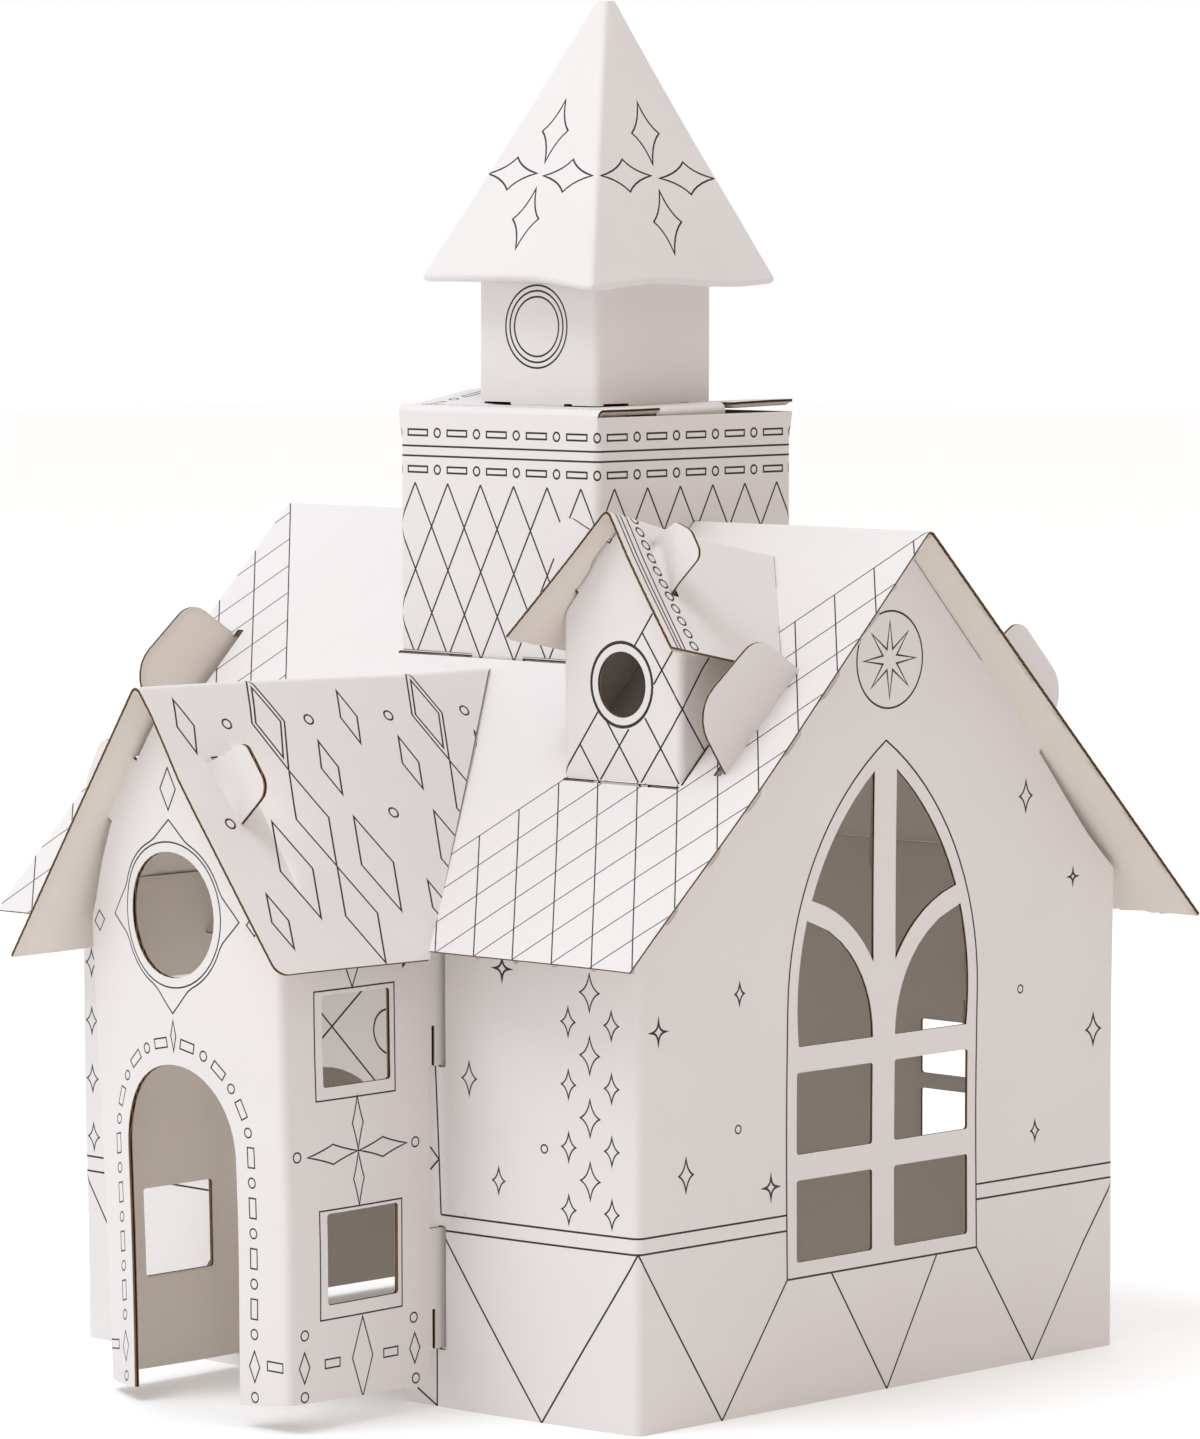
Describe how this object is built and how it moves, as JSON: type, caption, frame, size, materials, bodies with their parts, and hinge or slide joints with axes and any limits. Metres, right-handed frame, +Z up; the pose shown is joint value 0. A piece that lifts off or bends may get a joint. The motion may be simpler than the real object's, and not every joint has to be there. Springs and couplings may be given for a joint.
{
  "type": "folded cardboard house",
  "caption": "Slotted and folded cardboard house with a gabled roof, porch, dormer, square bell tower and pyramid spire, printed with line patterns",
  "frame": {"origin": "on the floor under the middle of the whole model's bounding box", "axes": "+Z up, +Y from the porch towards the back wall, +X along the main ridge towards the gable beside the dormer"},
  "size_m": [0.227, 0.257, 0.3418],
  "materials": {
    "printed_board": "matt white paper-faced corrugated board with black printed lines and brown fluted cut edges"
  },
  "bodies": {
    "root": {"main_walls": "printed_board", "main_roof": "printed_board", "porch_walls": "printed_board", "porch_roof": "printed_board", "dormer_walls": "printed_board", "dormer_roof": "printed_board", "tower_base": "printed_board", "tower_upper": "printed_board", "spire": "printed_board"}
  },
  "joints": []
}
